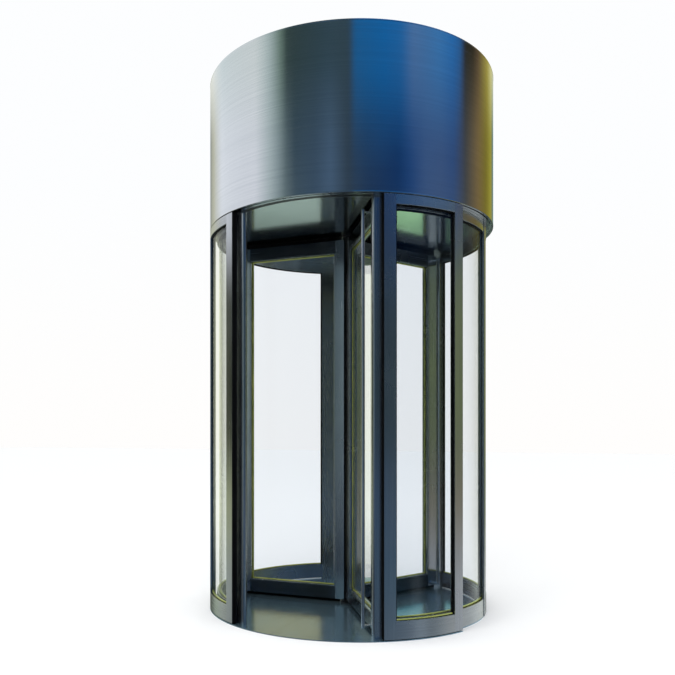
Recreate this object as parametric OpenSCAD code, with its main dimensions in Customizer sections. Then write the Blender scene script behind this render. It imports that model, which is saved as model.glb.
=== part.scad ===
// Three-wing revolving door: a round glazed drum with a front and a rear entrance, a tall
// round canopy on top, three glazed wings on a centre column, and two curved night-closing
// leaves parked on the outside of the front entrance.
// The door's front faces -Y. Its origin is on the wings' axis at ground level.

/* [Overall] */
// Outer diameter of the canopy
canopy_d = 2100; // [1800:20:3000]
// Height from the ground to the canopy's underside
clear_h = 2780; // [2100:20:3400]
// Height of the canopy
canopy_h = 1070; // [300:10:1500]

/* [Canopy] */
// Thickness of the curved cladding sheets
clad_t = 2; // [1.5:0.5:4]
// Depth of the roof cover below the cladding's top edge
roof_drop = 12; // [4:1:40]
// Thickness of the roof cover
roof_t = 3; // [2:0.5:6]
// Height of the ring beam that stands on the drum's posts
header_h = 80; // [40:5:160]
// Thickness of the ceiling disc
ceiling_t = 4; // [3:1:10]
// Thickness of the soffit sheet and of the track's walls
soffit_t = 2; // [1.5:0.5:4]
// Width of the track's groove
groove_w = 12; // [9:0.5:20]
// Depth of the track's groove
groove_h = 25; // [20:1:40]

/* [Drum] */
// Radial thickness of the drum's posts and rails
wall_t = 40; // [30:1:60]
// Angle from the entrance's middle to the tip of a post
entrance_deg = 26.6; // [24:0.1:29]
// Angle that an entrance post covers
entrance_post_deg = 6.9; // [5:0.1:9]
// Half of the angle that a post at the building's wall covers
wall_post_half_deg = 2; // [1.5:0.1:3]
// How far the flat face of a wall post stands out from the drum
wall_face = 3; // [1:0.5:6]
// Height of the bottom rails above the ground
drum_bottom_h = 130; // [90:5:250]
// Height of the top rails
drum_top_h = 80; // [50:5:150]
// Thickness of the drum's curved glass
drum_glass_t = 10; // [8:1:16]

/* [Floor] */
// Thickness of the floor plate and of the front sill
floor_t = 6; // [4:1:12]
// Radius of the bearing's cover on the floor
bearing_r = 72; // [60:1:90]
// Height of the bearing's cover
bearing_h = 18; // [12:1:20]

/* [Night-closing leaves] */
// Radial thickness of a leaf
leaf_t = 40; // [34:1:50]
// Air between the drum and a leaf
leaf_gap = 10; // [6:1:20]
// Angle from the entrance's middle to a parked leaf's front post
leaf_front_deg = 30.25; // [28.5:0.05:31]
// Angle that a leaf covers
leaf_deg = 32.6; // [31.5:0.1:36]
// Angle that a leaf's post covers
leaf_post_deg = 4.2; // [3:0.1:6]
// Height of a leaf's bottom rail
leaf_bottom_h = 114; // [80:2:200]
// Height of a leaf's top rail
leaf_top_h = 62; // [40:2:120]
// Thickness of a leaf's glass
leaf_glass_t = 8; // [6:1:12]
// Depth of the rubber strip on a leaf's leading edge
leaf_seal_w = 6; // [4:1:12]
// Radius of the guide pins that run in the track
pin_r = 5.5; // [3:0.1:5.8]

/* [Wings] */
// Angle at which the first wing rests, from the door's front axis
first_wing_deg = 30; // [0:1:119]
// Thickness of a wing's frame
wing_t = 60; // [40:1:70]
// Width of the stile next to the column
inner_stile_w = 72; // [50:1:100]
// Width of the outer stile
outer_stile_w = 100; // [60:1:140]
// Height of a wing's top and bottom rails
wing_rail_h = 94; // [60:2:200]
// Thickness of a wing's glass
wing_glass_t = 10; // [8:1:16]
// Air from the ground, and from the canopy, to a wing's frame
wing_lift = 32; // [30:1:60]

/* [Brush seals] */
// Depth of the brush on a wing's outer edge
brush_w = 29; // [15:1:40]
// Thickness of the brushes
brush_t = 14; // [8:1:24]
// Air between a brush and the drum or the ceiling
brush_gap = 5; // [5:0.5:8]
// Air between a wing's lower brush and the floor
floor_brush_gap = 7; // [5:0.5:10]

/* [Column] */
// Radius of the column
column_r = 37.7; // [34:0.1:45]
// Radius of the column's two journals
journal_r = 25; // [18:1:30]
// Radius of the collar under the ceiling
collar_r = 60; // [50:1:80]
// Height of the collar under the ceiling
collar_h = 12; // [6:1:14]

/* [Push bars] */
// Radius of a push bar
bar_r = 11.5; // [9:0.5:16]
// Distance from the bar's centre to the wing's mid-plane
bar_reach = 93; // [80:1:120]
// Distance from the wing frame's bottom up to a push bar
bar_foot_inset = 15; // [10:1:100]
// Distance from the wing frame's top down to a push bar
bar_head_inset = 30; // [10:1:100]
// Distance from the outer stile's outer edge to the bar's centre
bar_in = 42; // [25:1:60]
// Distance that an arm's foot lies further in than its bar
arm_slant = 28; // [0:1:34]
// Radius of an arm
arm_r = 8; // [5:0.5:10]
// Radius of the round plate at an arm's foot
rose_r = 16; // [12:1:22]
// Thickness of the round plate
rose_t = 4; // [2:0.5:8]

/* [Clearances] */
// Air between curved faces that are assembled with each other
fit_gap = 0.3; // [0.2:0.05:0.5]
// Running clearance of the moving leaves
run_gap = 5; // [5:0.5:8]

/* [Hidden] */
$fn = 180;

steel = [0.66, 0.68, 0.70];
dark_steel = [0.30, 0.34, 0.38];
mirror_steel = [0.55, 0.60, 0.58];
black = [0.06, 0.06, 0.07];
glass = [0.80, 0.88, 0.88, 0.35];

// Radii, from the canopy inwards
canopy_r = canopy_d / 2;
leaf_in_r = canopy_r - leaf_t;
track_r = canopy_r - leaf_t / 2;
drum_r = leaf_in_r - leaf_gap;
drum_in_r = drum_r - wall_t;
drum_mid_r = drum_r - wall_t / 2;
brush_end_r = drum_in_r - brush_gap;
wing_end_r = brush_end_r - brush_w;
stile_in_r = column_r + fit_gap;
panel_in_r = stile_in_r + inner_stile_w;
panel_out_r = wing_end_r - outer_stile_w;

// Angles of the drum's posts
nose_r = wall_t / 2 - 0.5;
nose_deg = entrance_deg + asin(nose_r / drum_mid_r);
post_back_deg = entrance_deg + entrance_post_deg;
wall_post_deg = 90 - wall_post_half_deg;

// Heights
ceiling_z = clear_h;
roof_z = clear_h + canopy_h - roof_drop - roof_t;
drum_panel_z = drum_bottom_h;
drum_panel_h = clear_h - drum_top_h - drum_panel_z;
wing_z = wing_lift;
wing_h = clear_h - 2 * wing_lift;
wing_panel_z = wing_z + wing_rail_h;
wing_panel_h = wing_h - 2 * wing_rail_h;
leaf_z = floor_t + run_gap;
leaf_h = clear_h - run_gap - leaf_z;
leaf_panel_z = leaf_z + leaf_bottom_h;
leaf_panel_h = leaf_h - leaf_bottom_h - leaf_top_h;
bar_z = wing_z + bar_foot_inset;
bar_h = wing_h - bar_foot_inset - bar_head_inset;

// Places along a wing
bar_x = wing_end_r - bar_in;
arm_x = bar_x - arm_slant;
arm_run = bar_reach - wing_t / 2;
arm_len = norm([arm_slant, arm_run]);

// Angle of a leaf's back edge
leaf_back_deg = leaf_front_deg + leaf_deg;

function wing_deg(number) = first_wing_deg + 120 * (number - 1);

// Turns a shape so that its +X lies at an angle from the door's front axis, + to the right
module turn_to(deg) {
    rotate([0, 0, deg - 90]) children();
}

// Angle that an arc on this radius needs for its clearance
function clear_deg(r) = asin(fit_gap / r);

// Ring segment with a rectangular section, between two angles from the front axis
module arc_bar(in_r, out_r, from_deg, to_deg, low_z, height) {
    translate([0, 0, low_z])
        turn_to(from_deg)
            rotate_extrude(angle = to_deg - from_deg)
                translate([in_r, 0])
                    square([out_r - in_r, height]);
}

// Flat ring with a rectangular section
module ring(in_r, out_r, low_z, height) {
    translate([0, 0, low_z])
        rotate_extrude()
            translate([in_r, 0])
                square([out_r - in_r, height]);
}

// A shape and its mirror image on the other side of the door
module both_sides() {
    children();
    mirror([1, 0, 0]) children();
}

// Box along a wing, centred on the wing's mid-plane
module wing_bar(from_x, to_x, thickness, low_z, height) {
    translate([from_x, -thickness / 2, low_z])
        cube([to_x - from_x, thickness, height]);
}

// ---- Floor ----

module floor_disc() {
    color(dark_steel)
        cylinder(r = drum_r, h = floor_t);
}

// The sill that the parked and the closed leaves stand over
module front_sill() {
    color(dark_steel)
        arc_bar(drum_r + fit_gap, canopy_r, -leaf_back_deg, leaf_back_deg, 0, floor_t);
}

module floor_bearing() {
    color(black)
        ring(journal_r + fit_gap, bearing_r, floor_t, bearing_h);
}

// ---- Drum ----

// Post beside an entrance, with a half-round nose towards the opening
module entrance_post() {
    arc_bar(drum_in_r, drum_r, nose_deg, post_back_deg, floor_t, clear_h - floor_t);
    turn_to(nose_deg)
        translate([drum_mid_r, 0, floor_t])
            rotate([0, 0, 180])
                rotate_extrude(angle = 180)
                    square([nose_r, clear_h - floor_t]);
}

module front_posts() {
    color(steel)
        both_sides() entrance_post();
}

module rear_posts() {
    color(steel)
        rotate([0, 0, 180]) both_sides() entrance_post();
}

// Post at the building's wall, flat on its outer face
module wall_post() {
    face_x = drum_r + wall_face;
    intersection() {
        arc_bar(drum_in_r, face_x + wall_t, wall_post_deg, 180 - wall_post_deg, floor_t, clear_h - floor_t);
        translate([0, -drum_r / 2, 0])
            cube([face_x, drum_r, clear_h]);
    }
}

module wall_posts() {
    color(steel)
        both_sides() wall_post();
}

// The four arcs of a rail, between the entrance posts and the wall posts
module drum_arcs(in_r, out_r, low_z, height) {
    for (turn = [0, 180])
        rotate([0, 0, turn])
            both_sides()
                arc_bar(in_r, out_r, post_back_deg, wall_post_deg, low_z, height);
}

module bottom_rails() {
    color(steel)
        drum_arcs(drum_in_r, drum_r, floor_t, drum_bottom_h - floor_t);
}

module top_rails() {
    color(steel)
        drum_arcs(drum_in_r, drum_r, clear_h - drum_top_h, drum_top_h);
}

// One sheet of curved glass, from an entrance post to a wall post
module drum_glass(from_deg, to_deg) {
    air = clear_deg(drum_mid_r);
    color(glass)
        arc_bar(
            drum_mid_r - drum_glass_t / 2, drum_mid_r + drum_glass_t / 2,
            from_deg + air, to_deg - air, drum_panel_z, drum_panel_h
        );
}

// ---- Canopy ----

module header_ring() {
    color(black)
        ring(drum_in_r, drum_r, clear_h, header_h);
}

module ceiling() {
    color(mirror_steel)
        ring(journal_r + run_gap, drum_in_r - fit_gap, ceiling_z, ceiling_t);
}

module ceiling_collar() {
    color(black)
        ring(journal_r + fit_gap, collar_r, clear_h - collar_h, collar_h);
}

// Soffit sheet with the groove in which the leaves' guide pins run
module soffit_track() {
    in_r = drum_r + fit_gap;
    out_r = canopy_r - clad_t - fit_gap;
    groove = groove_w / 2;
    outer = groove + soffit_t;
    top = groove_h + soffit_t;
    color(steel)
        translate([0, 0, clear_h])
            rotate_extrude()
                polygon([
                    [in_r, 0], [track_r - groove, 0], [track_r - groove, groove_h],
                    [track_r + groove, groove_h], [track_r + groove, 0], [out_r, 0],
                    [out_r, soffit_t], [track_r + outer, soffit_t], [track_r + outer, top],
                    [track_r - outer, top], [track_r - outer, soffit_t], [in_r, soffit_t]
                ]);
}

module canopy_half(from_deg) {
    color(steel)
        arc_bar(canopy_r - clad_t, canopy_r, from_deg, from_deg + 180, clear_h, canopy_h);
}

module canopy_roof() {
    color(dark_steel)
        translate([0, 0, roof_z])
            cylinder(r = canopy_r - clad_t - fit_gap, h = roof_t);
}

// ---- Wings ----

// Centre column, with a thinner journal at each end
module centre_column() {
    foot_z = floor_t + fit_gap;
    top_z = ceiling_z + 2 * ceiling_t;
    color(dark_steel) {
        translate([0, 0, wing_z])
            cylinder(r = column_r, h = wing_h);
        translate([0, 0, foot_z])
            cylinder(r = journal_r, h = top_z - foot_z);
    }
}

module wing_stiles(number) {
    color(steel)
        turn_to(wing_deg(number)) {
            wing_bar(stile_in_r, panel_in_r, wing_t, wing_z, wing_h);
            wing_bar(panel_out_r, wing_end_r, wing_t, wing_z, wing_h);
        }
}

module wing_rails(number) {
    color(steel)
        turn_to(wing_deg(number))
            for (low_z = [wing_z, wing_z + wing_h - wing_rail_h])
                wing_bar(panel_in_r, panel_out_r, wing_t, low_z, wing_rail_h);
}

module wing_glass(number) {
    color(glass)
        turn_to(wing_deg(number))
            wing_bar(panel_in_r, panel_out_r, wing_glass_t, wing_panel_z, wing_panel_h);
}

// Brushes at a wing's outer edge, bottom and top
module wing_brushes(number) {
    low_z = floor_t + floor_brush_gap;
    top_z = wing_z + wing_h;
    color(black)
        turn_to(wing_deg(number)) {
            wing_bar(wing_end_r, brush_end_r, brush_t, wing_z, wing_h);
            wing_bar(bearing_r + run_gap, wing_end_r - fit_gap, brush_t, low_z, wing_z - low_z);
            wing_bar(collar_r + run_gap, wing_end_r - fit_gap, brush_t, top_z, clear_h - brush_gap - top_z);
        }
}

// Arm from a push bar's end to its round plate on the outer stile
module bar_arm() {
    intersection() {
        translate([bar_x, -bar_reach, 0])
            rotate([0, 0, atan2(arm_run, -arm_slant)])
                rotate([0, 90, 0])
                    cylinder(r = arm_r, h = arm_len + rose_r);
        translate([arm_x - bar_in, -bar_reach - bar_r, -arm_r - 1])
            cube([2 * bar_in + arm_slant, bar_r + arm_run, 2 * arm_r + 2]);
    }
    translate([arm_x, -wing_t / 2, 0])
        rotate([90, 0, 0])
            cylinder(r = rose_r, h = rose_t);
}

// Full-height round bar on the face that a person pushes
module wing_push_bar(number) {
    color(steel)
        turn_to(wing_deg(number)) {
            translate([bar_x, -bar_reach, bar_z])
                cylinder(r = bar_r, h = bar_h);
            translate([0, 0, bar_z + bar_r])
                bar_arm();
            translate([0, 0, bar_z + bar_h - bar_r])
                bar_arm();
        }
}

// ---- Night-closing leaves, drawn on the right and mirrored to the left ----

module leaf_posts() {
    color(steel)
        for (from_deg = [leaf_front_deg, leaf_back_deg - leaf_post_deg])
            arc_bar(leaf_in_r, canopy_r, from_deg, from_deg + leaf_post_deg, leaf_z, leaf_h);
}

// A rail or the glass, between the two posts with some air at its ends
module leaf_arc(in_r, out_r, air, low_z, height) {
    arc_bar(
        in_r, out_r,
        leaf_front_deg + leaf_post_deg + air, leaf_back_deg - leaf_post_deg - air,
        low_z, height
    );
}

module leaf_rails() {
    color(steel) {
        leaf_arc(leaf_in_r, canopy_r, 0, leaf_z, leaf_bottom_h);
        leaf_arc(leaf_in_r, canopy_r, 0, leaf_z + leaf_h - leaf_top_h, leaf_top_h);
    }
}

module leaf_glass() {
    color(glass)
        leaf_arc(
            track_r - leaf_glass_t / 2, track_r + leaf_glass_t / 2,
            clear_deg(track_r), leaf_panel_z, leaf_panel_h
        );
}

// Rubber strip along the edge that meets the other leaf
module leaf_seal() {
    edge = leaf_t / 20;
    color(black)
        turn_to(leaf_front_deg)
            translate([leaf_in_r + edge, -leaf_seal_w, leaf_z])
                cube([leaf_t - 2 * edge, leaf_seal_w, leaf_h]);
}

// Glides under the posts and guide pins above them
module leaf_guides() {
    color(black)
        for (middle_deg = [leaf_front_deg + leaf_post_deg / 2, leaf_back_deg - leaf_post_deg / 2]) {
            arc_bar(
                leaf_in_r + leaf_t / 4, canopy_r - leaf_t / 4,
                middle_deg - leaf_post_deg / 4, middle_deg + leaf_post_deg / 4,
                floor_t + fit_gap, run_gap - fit_gap
            );
            turn_to(middle_deg)
                translate([track_r, 0, leaf_z + leaf_h])
                    cylinder(r = pin_r, h = run_gap + groove_h - pin_r);
        }
}

floor_disc();
front_sill();
floor_bearing();
front_posts();
rear_posts();
wall_posts();
bottom_rails();
top_rails();
drum_glass(-wall_post_deg, -post_back_deg);  // front_left_glass
drum_glass(post_back_deg, wall_post_deg);  // front_right_glass
drum_glass(180 + post_back_deg, 180 + wall_post_deg);  // rear_left_glass
drum_glass(180 - wall_post_deg, 180 - post_back_deg);  // rear_right_glass
header_ring();
ceiling();
ceiling_collar();
soffit_track();
canopy_half(-90);  // canopy_front
canopy_half(90);  // canopy_rear
canopy_roof();
centre_column();
wing_stiles(1);  // wing_1_stiles
wing_rails(1);  // wing_1_rails
wing_glass(1);  // wing_1_glass
wing_brushes(1);  // wing_1_brushes
wing_push_bar(1);  // wing_1_push_bar
wing_stiles(2);  // wing_2_stiles
wing_rails(2);  // wing_2_rails
wing_glass(2);  // wing_2_glass
wing_brushes(2);  // wing_2_brushes
wing_push_bar(2);  // wing_2_push_bar
wing_stiles(3);  // wing_3_stiles
wing_rails(3);  // wing_3_rails
wing_glass(3);  // wing_3_glass
wing_brushes(3);  // wing_3_brushes
wing_push_bar(3);  // wing_3_push_bar
mirror([1, 0, 0]) leaf_posts();  // left_leaf_posts
mirror([1, 0, 0]) leaf_rails();  // left_leaf_rails
mirror([1, 0, 0]) leaf_glass();  // left_leaf_glass
mirror([1, 0, 0]) leaf_seal();  // left_leaf_seal
mirror([1, 0, 0]) leaf_guides();  // left_leaf_guides
leaf_posts();  // right_leaf_posts
leaf_rails();  // right_leaf_rails
leaf_glass();  // right_leaf_glass
leaf_seal();  // right_leaf_seal
leaf_guides();  // right_leaf_guides
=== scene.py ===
import math
import random

import bmesh
import bpy
from mathutils import Matrix, Vector


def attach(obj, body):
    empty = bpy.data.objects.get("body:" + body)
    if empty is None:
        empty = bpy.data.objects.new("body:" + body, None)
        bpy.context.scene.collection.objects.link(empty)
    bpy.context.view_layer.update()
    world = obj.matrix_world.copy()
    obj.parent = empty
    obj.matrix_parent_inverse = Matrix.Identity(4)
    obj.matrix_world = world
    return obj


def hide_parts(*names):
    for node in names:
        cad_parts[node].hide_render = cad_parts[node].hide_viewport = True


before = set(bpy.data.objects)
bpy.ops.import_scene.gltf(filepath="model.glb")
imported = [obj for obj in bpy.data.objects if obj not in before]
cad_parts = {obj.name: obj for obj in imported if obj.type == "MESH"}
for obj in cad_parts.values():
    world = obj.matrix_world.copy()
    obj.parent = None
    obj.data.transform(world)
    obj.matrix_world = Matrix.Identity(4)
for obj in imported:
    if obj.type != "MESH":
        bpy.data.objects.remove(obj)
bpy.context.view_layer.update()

# ---- Floor plate and front sill ----
# The door stands on a round plate of blue-grey anodised aluminium, ground in one direction, and
# on a sill of the same plate under the leaves. Both are cut from flat sheet and screwed down.


def linear(hex_colour):
    """An sRGB colour, written as six hex digits, as a linear colour with alpha 1."""
    parts = [int(hex_colour[i : i + 2], 16) / 255 for i in (0, 2, 4)]
    return [p / 12.92 if p < 0.04045 else ((p + 0.055) / 1.055) ** 2.4 for p in parts] + [1.0]


def add(tree, kind, inputs=None, stops=(), **settings):
    """Adds a node with its settings, its inputs as values or links, and a ramp's stops."""
    node = tree.nodes.new(kind)
    for name, value in settings.items():
        setattr(node, name, value)
    for socket, value in (inputs or {}).items():
        if isinstance(value, bpy.types.NodeSocket):
            tree.links.new(value, node.inputs[socket])
        else:
            node.inputs[socket].default_value = value
    for number, (place, colour) in enumerate(stops):
        elements = node.color_ramp.elements
        stop = elements[number] if number < 2 else elements.new(place)
        stop.position = place
        stop.color = colour
    return node


def new_material(name):
    finish = bpy.data.materials.new(name)
    finish.use_nodes = True
    finish.node_tree.nodes.clear()
    return finish, finish.node_tree


def brushed_metal(
    name, light, dark, grain, turn, roughness, lines=0.06, stretch=0.7, scuffs=0.06, metallic=1.0
):
    """Sheet brushed along one direction: long fine lines, and a gloss drawn out across them.

    Real brushing is about 0.2 mm wide, too fine to show here, so grain draws it a few
    millimetres wide. turn is 0 for a grain that runs level and 0.25 for an upright one.
    """
    finish, tree = new_material(name)
    place = add(tree, "ShaderNodeTexCoord").outputs["Object"]
    along = add(tree, "ShaderNodeMapping", {"Vector": place, "Scale": grain}).outputs[0]
    hair = add(
        tree, "ShaderNodeTexNoise", {"Vector": along, "Scale": 1.0, "Detail": 5.0, "Roughness": 0.65}
    )
    shifted = add(
        tree, "ShaderNodeMapping", {"Vector": along, "Location": (7.0, 3.0, 5.0), "Scale": (0.5,) * 3}
    )
    marks = add(tree, "ShaderNodeTexNoise", {"Vector": shifted.outputs[0], "Scale": 1.0, "Detail": 2.0})
    scratch = add(
        tree, "ShaderNodeValToRGB", {"Fac": marks.outputs["Fac"]},
        stops=[(0.66, (0, 0, 0, 1)), (0.72, (1, 1, 1, 1))],
    )
    # Cloudy patches where hands and cloths have been
    cloud = add(tree, "ShaderNodeTexNoise", {"Vector": place, "Scale": 3.0, "Detail": 3.0})
    tone = add(
        tree, "ShaderNodeValToRGB", {"Fac": hair.outputs["Fac"]},
        stops=[(0.32, linear(dark)), (0.68, linear(light))],
    )
    rough = add(
        tree, "ShaderNodeMapRange",
        {
            "Value": cloud.outputs["Fac"], "From Min": 0.3, "From Max": 0.7,
            "To Min": roughness * 0.85, "To Max": roughness * 1.2,
        },
    )
    bright = add(
        tree, "ShaderNodeMath", {0: scratch.outputs["Color"], 1: scuffs, 2: rough.outputs["Result"]},
        operation="MULTIPLY_ADD",
    )
    bump = add(
        tree, "ShaderNodeBump", {"Strength": lines, "Distance": 0.001, "Height": hair.outputs["Fac"]}
    )
    upright = add(tree, "ShaderNodeCombineXYZ", {"Z": 1.0})
    shader = add(
        tree, "ShaderNodeBsdfPrincipled",
        {
            "Base Color": tone.outputs["Color"], "Metallic": metallic, "Roughness": bright.outputs[0],
            "Anisotropic": stretch, "Anisotropic Rotation": turn,
            "Tangent": upright.outputs[0], "Normal": bump.outputs[0],
        },
    )
    add(tree, "ShaderNodeOutputMaterial", {"Surface": shader.outputs[0]})
    return finish


def dress(node, finish):
    """Gives a carried-over CAD node its finish."""
    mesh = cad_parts[node].data
    mesh.materials.clear()
    mesh.materials.append(finish)


# A blue-grey satin that shows soft reflections and level grinding lines
plate = brushed_metal(
    "anodised_floor_plate", "93B4C4", "84A6B6", (90.0, 1.2, 90.0), 0.0, 0.17, 0.02, 0.2, 0.0, 0.86
)
dress("floor_disc", plate)
dress("front_sill", plate)

# ---- Drum posts ----
# Folded stainless steel covers over aluminium posts. Each entrance post has a half-round nose
# towards the doorway, with a shadow joint behind it; the wall posts have a flat outer face.

CLEAR_H = 2.78
FLOOR_T = 0.006
DRUM_IN = 0.960
DRUM_OUT = 1.000
DRUM_MID = 0.980
POST_BACK = 33.5
WALL_POST = 88.0

satin_upright = brushed_metal(
    "brushed_stainless_upright", "C4C7CA", "B2B6BA", (260.0, 260.0, 1.6), 0.25, 0.24
)


def turn_to(degrees):
    """Turns +X to an angle from the front axis."""
    return Matrix.Rotation(math.radians(degrees - 90), 4, "Z")


def sweep(bm, vert, centre, degrees, steps):
    """Draws an arc of edges on from a vertex, about an upright axis, and returns its end."""
    made = bmesh.ops.spin(
        bm, geom=[vert], cent=centre, axis=(0, 0, 1), angle=math.radians(degrees), steps=steps,
        use_merge=False, use_duplicate=False,
    )
    return [g for g in made["geom_last"] if isinstance(g, bmesh.types.BMVert)][0]


def step_to(bm, vert, place):
    """Draws a straight edge on from a vertex, and returns its end."""
    end = bm.verts.new(place)
    bm.edges.new((vert, end))
    return end


def raise_outline(bm, start, end, height):
    """Closes an outline, makes it a face and extrudes it upwards."""
    if (start.co - end.co).length > 1e-6:
        bm.edges.new((end, start))
    bmesh.ops.remove_doubles(bm, verts=bm.verts, dist=1e-5)
    face = bmesh.ops.contextual_create(bm, geom=bm.verts[:] + bm.edges[:])["faces"]
    up = bmesh.ops.extrude_face_region(bm, geom=face)["geom"]
    bmesh.ops.translate(bm, verts=[g for g in up if isinstance(g, bmesh.types.BMVert)], vec=(0, 0, height))
    bmesh.ops.recalc_face_normals(bm, faces=bm.faces)


def finish_piece(bm, name, finish, body, nodes=(), sharp=35.0):
    """Makes the mesh an object, smooth but for its edges, hangs it on its body's empty and hides the CAD
    nodes it replaces.
    """
    bmesh.ops.recalc_face_normals(bm, faces=bm.faces)
    mesh = bpy.data.meshes.new(name)
    bm.to_mesh(mesh)
    bm.free()
    mesh.shade_smooth()
    mesh.set_sharp_from_angle(angle=math.radians(sharp))
    mesh.materials.append(finish)
    piece = bpy.data.objects.new(name, mesh)
    bpy.context.scene.collection.objects.link(piece)
    # Broad faces keep their own direction up to their rounded edges
    even = piece.modifiers.new("even_shading", "WEIGHTED_NORMAL")
    even.keep_sharp = True
    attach(piece, body)
    if nodes:
        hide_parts(*nodes)
    return piece


def join(bm, other):
    """Adds another bmesh to this one."""
    mesh = bpy.data.meshes.new("part")
    other.to_mesh(mesh)
    other.free()
    bm.from_mesh(mesh)
    bpy.data.meshes.remove(mesh)


def entrance_post():
    """One post, drawn with its nose towards smaller angles on the right of the front."""
    nose_tip = 26.6
    nose_r = 0.0198
    joint = 0.003
    nose = nose_tip + math.degrees(math.asin(nose_r / DRUM_MID))
    behind = nose + 0.4
    bm = bmesh.new()
    start = bm.verts.new(turn_to(POST_BACK) @ Vector((DRUM_OUT, 0, FLOOR_T)))
    at = sweep(bm, start, (0, 0, 0), behind - POST_BACK, 6)
    at = step_to(bm, at, turn_to(behind) @ Vector((DRUM_OUT - joint, 0, FLOOR_T)))
    at = step_to(bm, at, turn_to(nose) @ Vector((DRUM_OUT - joint, 0, FLOOR_T)))
    at = step_to(bm, at, turn_to(nose) @ Vector((DRUM_MID + nose_r, 0, FLOOR_T)))
    centre = turn_to(nose) @ Vector((DRUM_MID, 0, FLOOR_T))
    at = sweep(bm, at, centre, -180, 20)
    at = step_to(bm, at, turn_to(nose) @ Vector((DRUM_IN + joint, 0, FLOOR_T)))
    at = step_to(bm, at, turn_to(behind) @ Vector((DRUM_IN + joint, 0, FLOOR_T)))
    at = step_to(bm, at, turn_to(behind) @ Vector((DRUM_IN, 0, FLOOR_T)))
    at = sweep(bm, at, (0, 0, 0), POST_BACK - behind, 6)
    raise_outline(bm, start, at, CLEAR_H - FLOOR_T)
    return bm


def half_turned(bm, degrees):
    """A bmesh turned about the door's axis, by 180 degrees for the rear."""
    bmesh.ops.rotate(bm, verts=bm.verts, matrix=Matrix.Rotation(math.radians(degrees), 3, "Z"))
    return bm


def mirrored(bm):
    """A bmesh on both sides of the door."""
    other = bm.copy()
    bmesh.ops.scale(other, vec=(-1, 1, 1), verts=other.verts)
    bmesh.ops.reverse_faces(other, faces=other.faces)
    join(bm, other)
    return bm


for name, half_turn in (("front_posts", 0), ("rear_posts", 180)):
    bm = half_turned(mirrored(entrance_post()), half_turn)
    finish_piece(bm, name.replace("posts", "post_covers"), satin_upright, "drum", [name])

wall_face = 1.003
bm = bmesh.new()
start = bm.verts.new(turn_to(WALL_POST) @ Vector((DRUM_IN, 0, FLOOR_T)))
end = sweep(bm, start, (0, 0, 0), 4, 4)
reach = wall_face / math.cos(math.radians(90 - WALL_POST))
end = step_to(bm, end, turn_to(180 - WALL_POST) @ Vector((reach, 0, FLOOR_T)))
end = step_to(bm, end, turn_to(WALL_POST) @ Vector((reach, 0, FLOOR_T)))
raise_outline(bm, start, end, CLEAR_H - FLOOR_T)
bmesh.ops.bevel(
    bm, geom=[e for e in bm.edges if abs(e.verts[0].co.z - e.verts[1].co.z) > 1 and e.verts[0].co.x > 1],
    offset=0.0015, offset_type="OFFSET", affect="EDGES", segments=3, profile=0.5, material=-1,
)
finish_piece(mirrored(bm), "wall_post_covers", satin_upright, "drum", ["wall_posts"])

# ---- Drum rails ----
# Curved stainless steel covers, rolled to the drum's radius, with small bends along their
# edges. The bottom rails stand on the floor plate and the top rails hang from the ring beam.

satin_level = brushed_metal("brushed_stainless_level", "C4C7CA", "B2B6BA", (2.2, 2.2, 260.0), 0.0, 0.24)


def arc_bar(in_r, out_r, from_deg, to_deg, low_z, high_z, edge=0.0015, step=1.5):
    """Ring segment with a rectangular section and rounded edges."""
    bm = bmesh.new()
    corners = [(in_r, low_z), (out_r, low_z), (out_r, high_z), (in_r, high_z)]
    verts = [bm.verts.new((r, 0, z)) for r, z in corners]
    face = bm.faces.new(verts)
    if edge:
        bmesh.ops.bevel(
            bm, geom=verts, offset=edge, offset_type="OFFSET", affect="VERTICES", segments=3,
            profile=0.5, material=-1,
        )
    bmesh.ops.delete(bm, geom=bm.faces[:], context="FACES_ONLY")
    bmesh.ops.transform(bm, matrix=turn_to(from_deg), verts=bm.verts)
    whole = abs(to_deg - from_deg) >= 360
    bmesh.ops.spin(
        bm, geom=bm.verts[:] + bm.edges[:], cent=(0, 0, 0), axis=(0, 0, 1),
        angle=math.radians(to_deg - from_deg), steps=max(2, round(abs(to_deg - from_deg) / step)),
        use_merge=whole, use_duplicate=False,
    )
    if not whole:
        bmesh.ops.holes_fill(bm, edges=[e for e in bm.edges if e.is_boundary], sides=0)
    bmesh.ops.recalc_face_normals(bm, faces=bm.faces)
    return bm


def four_bars(bm, *bar):
    """Adds an arc drawn for the right of the front at all four places round the drum."""
    for half_turn in (0, 180):
        join(bm, half_turned(mirrored(arc_bar(*bar)), half_turn))
    return bm


def four_arcs(in_r, out_r, low_z, high_z, edge=0.0015, inset=0.0):
    """The four arcs between the entrance posts and the wall posts."""
    from_deg, to_deg = POST_BACK + inset, WALL_POST - inset
    return four_bars(bmesh.new(), in_r, out_r, from_deg, to_deg, low_z, high_z, edge)


RAIL_TOP = 0.130
HEAD_LOW = 2.700
finish_piece(
    four_arcs(DRUM_IN, DRUM_OUT, FLOOR_T, RAIL_TOP), "bottom_rail_covers", satin_level, "drum",
    ["bottom_rails"],
)
finish_piece(
    four_arcs(DRUM_IN, DRUM_OUT, HEAD_LOW, CLEAR_H), "top_rail_covers", satin_level, "drum",
    ["top_rails"],
)


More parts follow.
